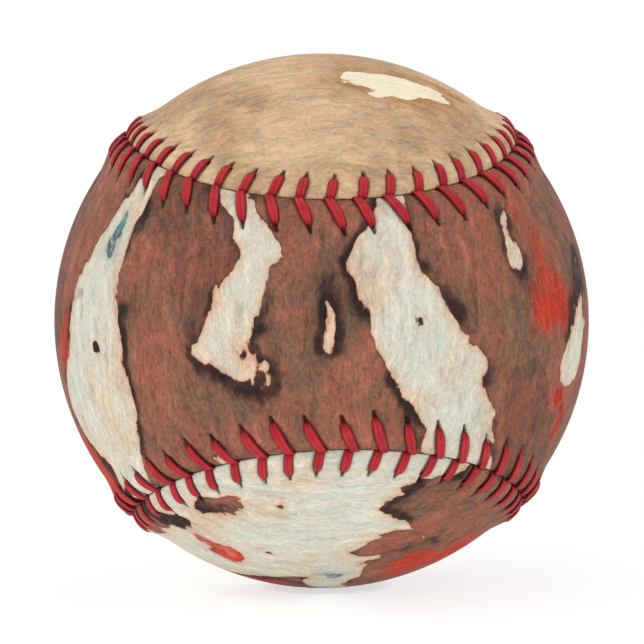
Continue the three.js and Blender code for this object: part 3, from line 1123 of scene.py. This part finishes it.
def brown_wash(writer, place, tone, glow, colours):
    """Brown between russet and umber, that runs into vermilion where it glows."""
    brown = writer.mix(writer.step(tone, *UMBER_TONES), colours.russet, colours.umber)
    field = painted(writer, place, glow) + (tone - 0.5) * GLOW_UNEVENNESS
    heat = writer.step(field, *GLOW_EDGE) * GLOW_STRENGTH
    return writer.mix(heat, brown, colours.vermilion)


def front_print(writer, place, tone, colours):
    """Front cover: a brown wash that leaves pale islands, with a few bright touches."""
    bristles = painted(writer, place, FRONT_BRISTLES)
    paper = stained_paper(writer, tone, colours)
    paper = smudge(writer, paper, colours.sand, bristles, BRISTLE_STRENGTH)
    brown = brown_wash(writer, place, tone, FRONT_GLOW, colours)
    glaze = writer.step(painted(writer, place, FRONT_GLAZE), *GLAZE_EDGE)
    brown = writer.mix(glaze * GLAZE_STRENGTH, brown, colours.plum)
    islands = painted(writer, place, FRONT_ISLANDS)
    colour = wash(writer, paper, brown, -islands, tone, colours)
    tail = painted(writer, place, FRONT_TAIL)
    colour = smudge(writer, colour, colours.slate, tail, TAIL_STRENGTH)
    return accents(writer, colour, place, tone, colours, FRONT_SLATE, FRONT_DABS, FRONT_TEAL)


def tan_wash(writer, place, tone, colours):
    """Tan with darker drifts and ochre stains, and a light patch with an ochre rim."""
    tan = writer.mix(writer.step(tone, *SAND_TONES), colours.tan, colours.sand)
    drift = writer.step(painted(writer, place, BACK_DRIFT), *DRIFT_EDGE)
    tan = writer.mix(drift * DRIFT_STRENGTH, tan, colours.sand)
    stain = writer.step(painted(writer, place, BACK_STAIN), *STAIN_EDGE)
    tan = writer.mix(stain * STAIN_STRENGTH, tan, colours.ochre)
    patch = painted(writer, place, BACK_PATCH)
    rim = fade(patch, PATCH_RIM_FALL) * ranged(writer.step(tone, *RIM_TONES), *RIM_STRENGTH)
    tan = writer.mix(rim, tan, colours.ochre)
    return writer.mix(writer.step(patch, *PATCH_EDGE), tan, colours.cream)


def back_print(writer, place, tone, colours):
    """Back cover: tan above, pale below with brown washes."""
    colour = tan_wash(writer, place, tone, colours)
    pale = writer.step(painted(writer, place, BACK_PALE), *CRISP_EDGE)
    colour = writer.mix(pale, colour, stained_paper(writer, tone, colours))
    brown = brown_wash(writer, place, tone, BACK_GLOW, colours)
    colour = wash(writer, colour, brown, painted(writer, place, BACK_BROWN), tone, colours)
    return accents(writer, colour, place, tone, colours, BACK_SLATE, BACK_DABS, BACK_TEAL)


# Finishes

# How wide a fibre is for its length, and how far it sways
FIBRE_STRETCH = 0.13
FIBRE_SWAY = 0.1
# Noises of the hide and of the print: how fine they are, their detail and their roughness
SWAY = (6.5, 2.0, 0.5)
FIBRES = (76.0, 2.0, 0.6)
WRINKLES = (30.0, 3.0, 0.62)
PEBBLE = (56.0, 3.0, 0.68)
FRAYS = (110.0, 1.0, 0.5)
DRIFT = (2.3, 2.0, 0.5)
RAGS = (10.0, 3.0, 0.5)
TONE = (3.4, 3.0, 0.6)
# How far the print drifts, and how far its edges are ragged
DRIFT_REACH = 0.3
RAG_REACH = 0.07
# How strong the grain's light and dark is on black and on white leather
GRAIN_CONTRAST = (1.4, 0.3)
# How far pebble, fibres and streaks lighten the leather, and the wrinkles that are streaks
PEBBLE_LIGHT = 0.95
FIBRE_LIGHT = 0.45
STREAK_LIGHT = 0.2
LIGHT_WRINKLES = (0.52, 0.66)
DARK_WRINKLES = (0.48, 0.34)
# How high pebble and fibres stand for wrinkles 1 high, and the grain's depth and strength
PEBBLE_RELIEF = 0.7
FIBRE_RELIEF = 0.4
GRAIN_DEPTH = 0.12 * MM
GRAIN_STRENGTH = 0.6
LEATHER_ROUGHNESS = 0.72
FIBRE_GLOSS = 0.2
LEATHER_SHINE = 0.2
# Painted shade of slits, folds, creases and cut edge: the shades at which it starts and is full, how
# ragged its rim is, and how dark it is
SLIT_SHADES = (0.15, 0.8)
SLIT_FRAY = 1.9
SEAM_SHADE_STRENGTH = 0.82
SEAM_SHADE_COLOUR = (44, 34, 26)
# Mottles of the hide: how fine they are and how far they tint it, and their two tints
MOTTLING = [(6.0, 0.4), (17.0, 0.6), (56.0, 0.4)]
MOTTLE_DETAIL = (3.0, 0.64)
MOTTLE_RANGE = (0.38, 0.62)
COOL_MOTTLE = (0.38, 0.45, 0.46)
WARM_MOTTLE = (0.62, 0.50, 0.47)
# Thread: fibres for each metre along it and once round a ply, and where its crest turns from
# the painted shade of the groove colour to crimson, where it gets the painted highlight in rose
# and where it is stained again
FIBRES_ALONG = 900.0
FIBRES_ROUND = 7.0
THREAD_FIBRES = (1.0, 2.0, 0.6)
THREAD_TONE = (14.0, 2.0, 0.5)
CRIMSON_CREST = (0.45, 0.97)
HIGHLIGHT_CREST = (0.82, 1.14)
HIGHLIGHT_UNEVENNESS = 0.9
HIGHLIGHT_STRENGTH = 0.6
STAINED_TONES = (0.45, 0.65)
STAINED_STRENGTH = 0.3
THREAD_ROUGHNESS = 0.5
THREAD_SHINE = 0.28
THREAD_DEPTH = 0.05 * MM
THREAD_STRENGTH = 0.5
# Yarn: how far apart its crossing strands lie and how they waver, and the fuzz between them
YARN_CROSSING = 0.9
YARN_WAVER = 1.5
YARN_FUZZ = (60.0, 3.0, 0.5)
FUZZ_HEIGHT = 0.3
# Heights at which the yarn turns from its painted shade between the strands to its light colour
YARN_TONES = (0.4, 1.1)
YARN_ROUGHNESS = 0.9
YARN_DEPTH = 0.2 * MM
# Rubber: its bloom and its specks
BLOOM = (9.0, 3.0, 0.5)
BLOOM_DULLNESS = 0.3
SPECKS = (90.0, 1.0, 0.5)
SPECK_TONES = (0.6, 0.7)
SPECK_STRENGTH = 0.6
RUBBER_ROUGHNESS = 0.55
RUBBER_DEPTH = 0.04 * MM
RUBBER_STRENGTH = 0.4
# Cork: its grains for each ball radius, and where their joints start and are full
CORK_GRAINS = 26.0
CORK_JOINTS = (0.35, 0.6)
CORK_ROUGHNESS = 0.85
CORK_DEPTH = 0.15 * MM


def hide_places(writer, side):
    """Places on the hide: as they are, drawn out along its fibres, and between the two."""
    place = writer.position()
    along = FIBRE_STRETCH / BALL_RADIUS
    across = BALL_SCALE[0]
    grain = writer.position((across, across, along) if side == FRONT else (along, across, across))
    grain = writer.shifted(grain, writer.noise(place, *SWAY)[1], FIBRE_SWAY)
    return place, grain, writer.vector("ADD", place, grain)


def run_wet(writer, place, pores):
    """Places as the wet print takes them, drifting and ragged."""
    drifted = writer.shifted(place, writer.noise(place, *DRIFT)[1], DRIFT_REACH)
    return writer.shifted(drifted, writer.noise(pores, *RAGS)[1], RAG_REACH)


def mottled(writer, colour, pores, depth):
    """A colour with the hide's cool and warm mottles in it."""
    for scale, strength in MOTTLING:
        warmth = writer.step(writer.noise(pores, scale, *MOTTLE_DETAIL)[0], *MOTTLE_RANGE)
        hue = writer.mix(warmth, COOL_MOTTLE, WARM_MOTTLE)
        colour = writer.mix(depth * strength, colour, hue, "SOFT_LIGHT")
    return colour


def grained(writer, colour, depth, fibres, wrinkles, pebble):
    """A colour with the light and dark of the hide's pebble, fibres and streaks in it."""
    light_streaks = writer.step(wrinkles, *LIGHT_WRINKLES) * STREAK_LIGHT
    dark_streaks = writer.step(wrinkles, *DARK_WRINKLES) * STREAK_LIGHT
    relief = (pebble - 0.5) * PEBBLE_LIGHT - (fibres - 0.5) * FIBRE_LIGHT
    relief = relief + (light_streaks - dark_streaks)
    return writer.scaled(colour, 1.0 + relief * depth)


def painted_seam_shade(writer, colour, pores):
    """A colour darkened by painted shade, frayed at its rim, in the needle slits, folds, creases and on
    the cut edge.
    """
    frays = writer.noise(pores, *FRAYS)[0]
    shade = writer.attribute("shade")
    dark = writer.step(shade + (frays - 0.5) * SLIT_FRAY * shade, *SLIT_SHADES)
    return writer.mix(dark * SEAM_SHADE_STRENGTH, colour, srgb(*SEAM_SHADE_COLOUR))


def leather_material(name, side, print_colour, colours):
    """Printed leather: the print, fibres along the hide, mottling, painted shade in the slits and
    folds, and a fine bump.
    """
    writer = new_material(name)
    place, grain, pores = hide_places(writer, side)
    tone = writer.noise(place, *TONE)[0]
    colour = print_colour(writer, run_wet(writer, place, pores), tone, colours)
    depth = ranged(writer.node("RGBToBW", {0: colour})[0], *GRAIN_CONTRAST)
    colour = mottled(writer, colour, pores, depth)
    fibres = writer.noise(grain, *FIBRES)[0]
    wrinkles = writer.noise(grain, *WRINKLES)[0]
    pebble = writer.noise(pores, *PEBBLE)[0]
    colour = grained(writer, colour, depth, fibres, wrinkles, pebble)
    # Painted shade in the needle slits, folds, creases and on the cut edge
    colour = painted_seam_shade(writer, colour, pores)
    height = pebble * PEBBLE_RELIEF - fibres * FIBRE_RELIEF + wrinkles
    normal = writer.bump(height, GRAIN_DEPTH, GRAIN_STRENGTH)
    roughness = LEATHER_ROUGHNESS + (0.5 - fibres) * FIBRE_GLOSS
    return writer.finish_solid(colour, roughness, normal, LEATHER_SHINE)


def thread_material(colours):
    """Waxed crimson thread: fine lengthwise fibres, dull lustre, painted shade on the sides of its
    plies and a painted highlight on their crests.
    """
    writer = new_material("waxed_thread")
    run, around = writer.attribute("run"), writer.attribute("around")
    vector = writer.node("CombineXYZ", {0: run * FIBRES_ALONG, 1: around * FIBRES_ROUND})[0]
    fibres = writer.noise(vector, *THREAD_FIBRES)[0]
    place = writer.position()
    tone = writer.noise(place, *THREAD_TONE)[0]
    # How far the thread's surface faces out from the ball: most on the crests of its plies
    outwards = writer.vector("NORMALIZE", place)
    facing = writer.outputs("TexCoord")["Normal"]
    crest = writer.measure("DOT_PRODUCT", facing, outwards)
    # The painted highlight on the crests, with a ragged rim
    uneven = crest + (fibres - 0.5) * HIGHLIGHT_UNEVENNESS
    painted_highlight = writer.step(uneven, *HIGHLIGHT_CREST) * HIGHLIGHT_STRENGTH
    stained = writer.step(tone, *STAINED_TONES) * STAINED_STRENGTH
    # Painted shade in the groove colour on the sides of the plies and between them, and a painted
    # highlight in rose on their crests
    colour = writer.mix(writer.step(crest, *CRIMSON_CREST), colours.groove, colours.crimson)
    colour = writer.mix(painted_highlight, colour, colours.crest_highlight)
    colour = writer.mix(stained, colour, colours.groove)
    normal = writer.bump(fibres, THREAD_DEPTH, THREAD_STRENGTH)
    return writer.finish_solid(colour, THREAD_ROUGHNESS, normal, THREAD_SHINE)


def yarn_material(name, light, dark, yarns):
    """Wound yarn: twisted strands that cross, with fuzz between them and painted shade where they lie
    low.
    """
    writer = new_material(name)
    place = writer.position()
    layers = []
    for direction, count in [("DIAGONAL", yarns), ("X", yarns * YARN_CROSSING)]:
        bands = {"Vector": place, "Scale": count, "Distortion": YARN_WAVER}
        layers.append(writer.node("TexWave", bands, wave_type="BANDS", bands_direction=direction)[1])
    fuzz = writer.noise(place, *YARN_FUZZ)[0]
    height = layers[0].larger(layers[1]) + fuzz * FUZZ_HEIGHT
    # Darker where the strands lie low: painted shade in the gaps between them
    colour = writer.mix(writer.step(height, *YARN_TONES), srgb(*dark), srgb(*light))
    return writer.finish_solid(colour, YARN_ROUGHNESS, writer.bump(height, YARN_DEPTH))


def rubber_material(name, tint, speck):
    """Moulded rubber with fine specks and a slight bloom."""
    writer = new_material(name)
    place = writer.position()
    bloom = writer.noise(place, *BLOOM)[0]
    specks = writer.noise(place, *SPECKS)[0]
    share = writer.step(specks, *SPECK_TONES) * SPECK_STRENGTH
    colour = writer.mix(share, srgb(*tint), srgb(*speck))
    normal = writer.bump(specks, RUBBER_DEPTH, RUBBER_STRENGTH)
    return writer.finish_solid(colour, RUBBER_ROUGHNESS + bloom * BLOOM_DULLNESS, normal)


def cork_material():
    """Composition cork: grains of several browns with dark joints."""
    writer = new_material("composition_cork")
    cells = {"Vector": writer.position(), "Scale": CORK_GRAINS}
    distance, tint = writer.node("TexVoronoi", cells)[:2]
    hue = writer.node("SeparateColor", {0: tint})[0]
    grain = writer.mix(hue, srgb(168, 122, 78), srgb(120, 80, 50))
    joint = writer.step(distance, *CORK_JOINTS)
    colour = writer.mix(joint, grain, srgb(70, 44, 30))
    return writer.finish_solid(colour, CORK_ROUGHNESS, writer.bump(1.0 - joint, CORK_DEPTH))


# Pieces

def seat(piece, node):
    """A finished piece stands for its CAD node: it hangs from the root body, and the node is hidden."""
    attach(piece, "root")
    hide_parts(node)


def dress(node, material):
    """Gives a CAD node that keeps its shape its finish."""
    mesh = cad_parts[node].data
    mesh.materials.clear()
    mesh.materials.append(material)


class BASEBALL_OT_covers(bpy.types.Operator):
    """Make the two figure-eight leather covers with their stitch grooves, slits and print"""

    bl_idname = "baseball.covers"
    bl_label = "Leather Covers"

    def execute(self, context):
        scene = context.scene
        seam = Seam(scene.baseball_seam)
        colours = scene.baseball_colours
        covers = [
            (FRONT, "leather_cover_front", "cover_front", "printed_leather_brown", front_print),
            (BACK, "leather_cover_back", "cover_back", "printed_leather_tan", back_print),
        ]
        for side, name, node, slot, print_colour in covers:
            piece = make_cover(name, seam, Stitching(seam, side), scene.baseball_leather)
            piece.data.materials.append(leather_material(slot, side, print_colour, colours))
            seat(piece, node)
        return {"FINISHED"}


class BASEBALL_OT_lacing(bpy.types.Operator):
    """Lace the covers with one continuous waxed thread"""

    bl_idname = "baseball.lacing"
    bl_label = "Lacing Thread"

    def execute(self, context):
        scene = context.scene
        seam = Seam(scene.baseball_seam)
        thread = scene.baseball_thread
        stitchings = {side: Stitching(seam, side) for side in (FRONT, BACK)}
        guide = make_guide(seam, stitchings, scene.baseball_leather, thread)
        tree = thread_tree(thread_material(scene.baseball_colours))
        piece = applied("waxed_lacing_thread", guide, tree, {
            "Strand radius": thread.strand_radius,
            "Strand spacing": thread.strand_spacing,
            "Flatness": thread.flatness,
            "Strand sides": thread.strand_sides,
        })
        seat(piece, "lacing_thread")
        return {"FINISHED"}


class BASEBALL_OT_inside(bpy.types.Operator):
    """Give the cork, the rubber and the windings inside the ball their finish"""

    bl_idname = "baseball.inside"
    bl_label = "Inside"

    def execute(self, context):
        black = rubber_material("black_rubber", (28, 27, 27), (64, 62, 60))
        red = rubber_material("red_rubber", (150, 48, 42), (176, 92, 78))
        # Each yarn: its light colour, and the darker colour of the painted shade between its strands
        grey = yarn_material("grey_wool", (160, 158, 152), (92, 90, 88), 14.0)
        white = yarn_material("white_wool", (232, 226, 212), (176, 168, 152), 14.0)
        fine = yarn_material("fine_yarn", (240, 232, 214), (188, 176, 150), 28.0)
        finishes = {
            "cork_core": cork_material(),
            "black_shell_front": black,
            "black_shell_back": black,
            "red_washer": red,
            "red_jacket_front": red,
            "red_jacket_back": red,
            "winding_1_grey_wool": grey,
            "winding_2_white_wool": white,
            "winding_3_grey_wool": grey,
            "winding_4_fine_yarn": fine,
        }
        for node, material in finishes.items():
            dress(node, material)
        return {"FINISHED"}


# Stage

WHITE = (1.0, 1.0, 1.0, 1.0)
CAMERA_AZIMUTH = -3.90
CAMERA_ELEVATION = 0.92
CAMERA_ROLL = -0.88
CAMERA_DISTANCE = 7.5 * BALL_RADIUS
CAMERA_LENS = 111.07
CAMERA_SENSOR = 36.0
CAMERA_NEAR = 0.01
CAMERA_AIM = (0.05 * MM, 0.0, -0.17 * MM)
SKY_LEVEL = 0.8
# Lamps: the key light by its direction and distance, and a light table below the ball
KEY_DIRECTION = (-30, 40)
KEY_DISTANCE = 0.9
KEY_SIZE = 0.7
KEY_POWER = 1.2
TABLE_GAP = 1.0 * MM
TABLE_SIZE = 0.5
TABLE_POWER = 0.25
# The floor, and the distances at which it turns from partly to fully white to the camera
FLOOR_REACH = 4.0
FLOOR_COLOUR = (0.9, 0.9, 0.9, 1.0)
FLOOR_FADE = (1.3 * BALL_RADIUS, 4.0 * BALL_RADIUS)
FLOOR_WHITE_NEAR = 0.65


def make_camera(scene):
    """The camera that frames the ball as the photograph does."""
    data = bpy.data.cameras.new("camera")
    data.lens = CAMERA_LENS
    data.sensor_width = CAMERA_SENSOR
    data.clip_start = CAMERA_NEAR
    camera = add_object("camera", data)
    backwards = towards(CAMERA_AZIMUTH, CAMERA_ELEVATION)
    place = Matrix.Translation(Vector(CAMERA_AIM) + backwards * CAMERA_DISTANCE)
    turned = backwards.to_track_quat("Z", "Y").to_matrix().to_4x4()
    camera.matrix_world = place @ turned @ Matrix.Rotation(math.radians(CAMERA_ROLL), 4, "Z")
    scene.camera = camera


def add_softbox(name, place, aim, size, power):
    """A round lamp at a place, turned to an aim."""
    data = bpy.data.lights.new(name, "AREA")
    data.shape = "DISK"
    data.size = size
    data.energy = power
    lamp = add_object(name, data)
    turned = (place - aim).to_track_quat("Z", "Y").to_matrix().to_4x4()
    lamp.matrix_world = Matrix.Translation(place) @ turned
    lamp.visible_camera = False


def white_to_camera(writer, surface, share):
    """Mixes in plain white where the camera, gloss or glass looks straight at it."""
    rays = writer.outputs("LightPath")
    seen = rays["Is Camera Ray"].larger(rays["Is Glossy Ray"]).larger(rays["Is Transmission Ray"])
    white = writer.node("Emission", {"Color": WHITE, "Strength": 1.0})[0]
    return writer.node("MixShader", {0: seen * share, 1: surface, 2: white})[0]


def make_floor():
    """A pale floor at the foot of the ball, white where it is far away."""
    mesh = bpy.data.meshes.new("floor")
    level = CAD_BOX[0].z
    corners = [(x * FLOOR_REACH, y * FLOOR_REACH, level)
               for x, y in [(-1, -1), (1, -1), (1, 1), (-1, 1)]]
    mesh.from_pydata(corners, [], [(0, 1, 2, 3)])
    floor = add_object("floor", mesh)
    writer = new_material("pale_floor")
    matt = writer.node("BsdfDiffuse", {"Color": FLOOR_COLOUR})[0]
    away = writer.measure("LENGTH", writer.outputs("TexCoord")["Object"])
    share = ranged(writer.step(away, *FLOOR_FADE), FLOOR_WHITE_NEAR, 1.0)
    mesh.materials.append(writer.finish(white_to_camera(writer, matt, share)))


def make_world(scene):
    """Even light all round, white behind the ball and in its gloss."""
    world = bpy.data.worlds.new("studio")
    writer = ShaderWriter(world)
    rays = writer.outputs("LightPath")
    seen = rays["Is Camera Ray"].larger(rays["Is Glossy Ray"])
    strength = writer.node("MapRange", {"Value": seen, "To Min": SKY_LEVEL, "To Max": 1.0})[0]
    sky = writer.node("Background", {"Color": WHITE, "Strength": strength})[0]
    writer.node("OutputWorld", {"Surface": sky})
    scene.world = world


class BASEBALL_OT_stage(bpy.types.Operator):
    """Set up the floor, the soft light and the camera"""

    bl_idname = "baseball.stage"
    bl_label = "Stage"

    def execute(self, context):
        scene = context.scene
        scene.view_settings.view_transform = "Standard"
        make_camera(scene)
        make_floor()
        make_world(scene)
        key = towards(*KEY_DIRECTION) * KEY_DISTANCE
        add_softbox("key", key, Vector((0, 0, 0)), KEY_SIZE, KEY_POWER)
        table = Vector((0, 0, CAD_BOX[0].z + TABLE_GAP))
        add_softbox("light_table", table, table - Vector((0, 0, 1)), TABLE_SIZE, TABLE_POWER)
        return {"FINISHED"}


class BASEBALL_PT_panel(bpy.types.Panel):
    """Sidebar panel of the baseball"""

    bl_idname = "BASEBALL_PT_panel"
    bl_label = "Baseball"
    bl_space_type = "VIEW_3D"
    bl_region_type = "UI"
    bl_category = "Baseball"

    def draw(self, context):
        for group in GROUPS:
            values = getattr(context.scene, group)
            column = self.layout.column(align=True)
            for name in values.bl_rna.properties.keys():
                if name not in ("rna_type", "name"):
                    column.prop(values, name)
        for operator in OPERATORS:
            self.layout.operator(operator.bl_idname)


GROUPS = {
    "baseball_seam": BaseballSeam,
    "baseball_leather": BaseballLeather,
    "baseball_thread": BaseballThread,
    "baseball_colours": BaseballColours,
}
OPERATORS = [BASEBALL_OT_stage, BASEBALL_OT_covers, BASEBALL_OT_lacing, BASEBALL_OT_inside]


def register():
    for kind in [*GROUPS.values(), *OPERATORS, BASEBALL_PT_panel]:
        bpy.utils.register_class(kind)
    for name, kind in GROUPS.items():
        setattr(bpy.types.Scene, name, PointerProperty(type=kind))


def unregister():
    for name in GROUPS:
        delattr(bpy.types.Scene, name)
    for kind in reversed([*GROUPS.values(), *OPERATORS, BASEBALL_PT_panel]):
        bpy.utils.unregister_class(kind)


def main():
    register()
    bpy.ops.baseball.stage()
    bpy.ops.baseball.covers()
    bpy.ops.baseball.lacing()
    bpy.ops.baseball.inside()


if __name__ == "__main__":
    main()
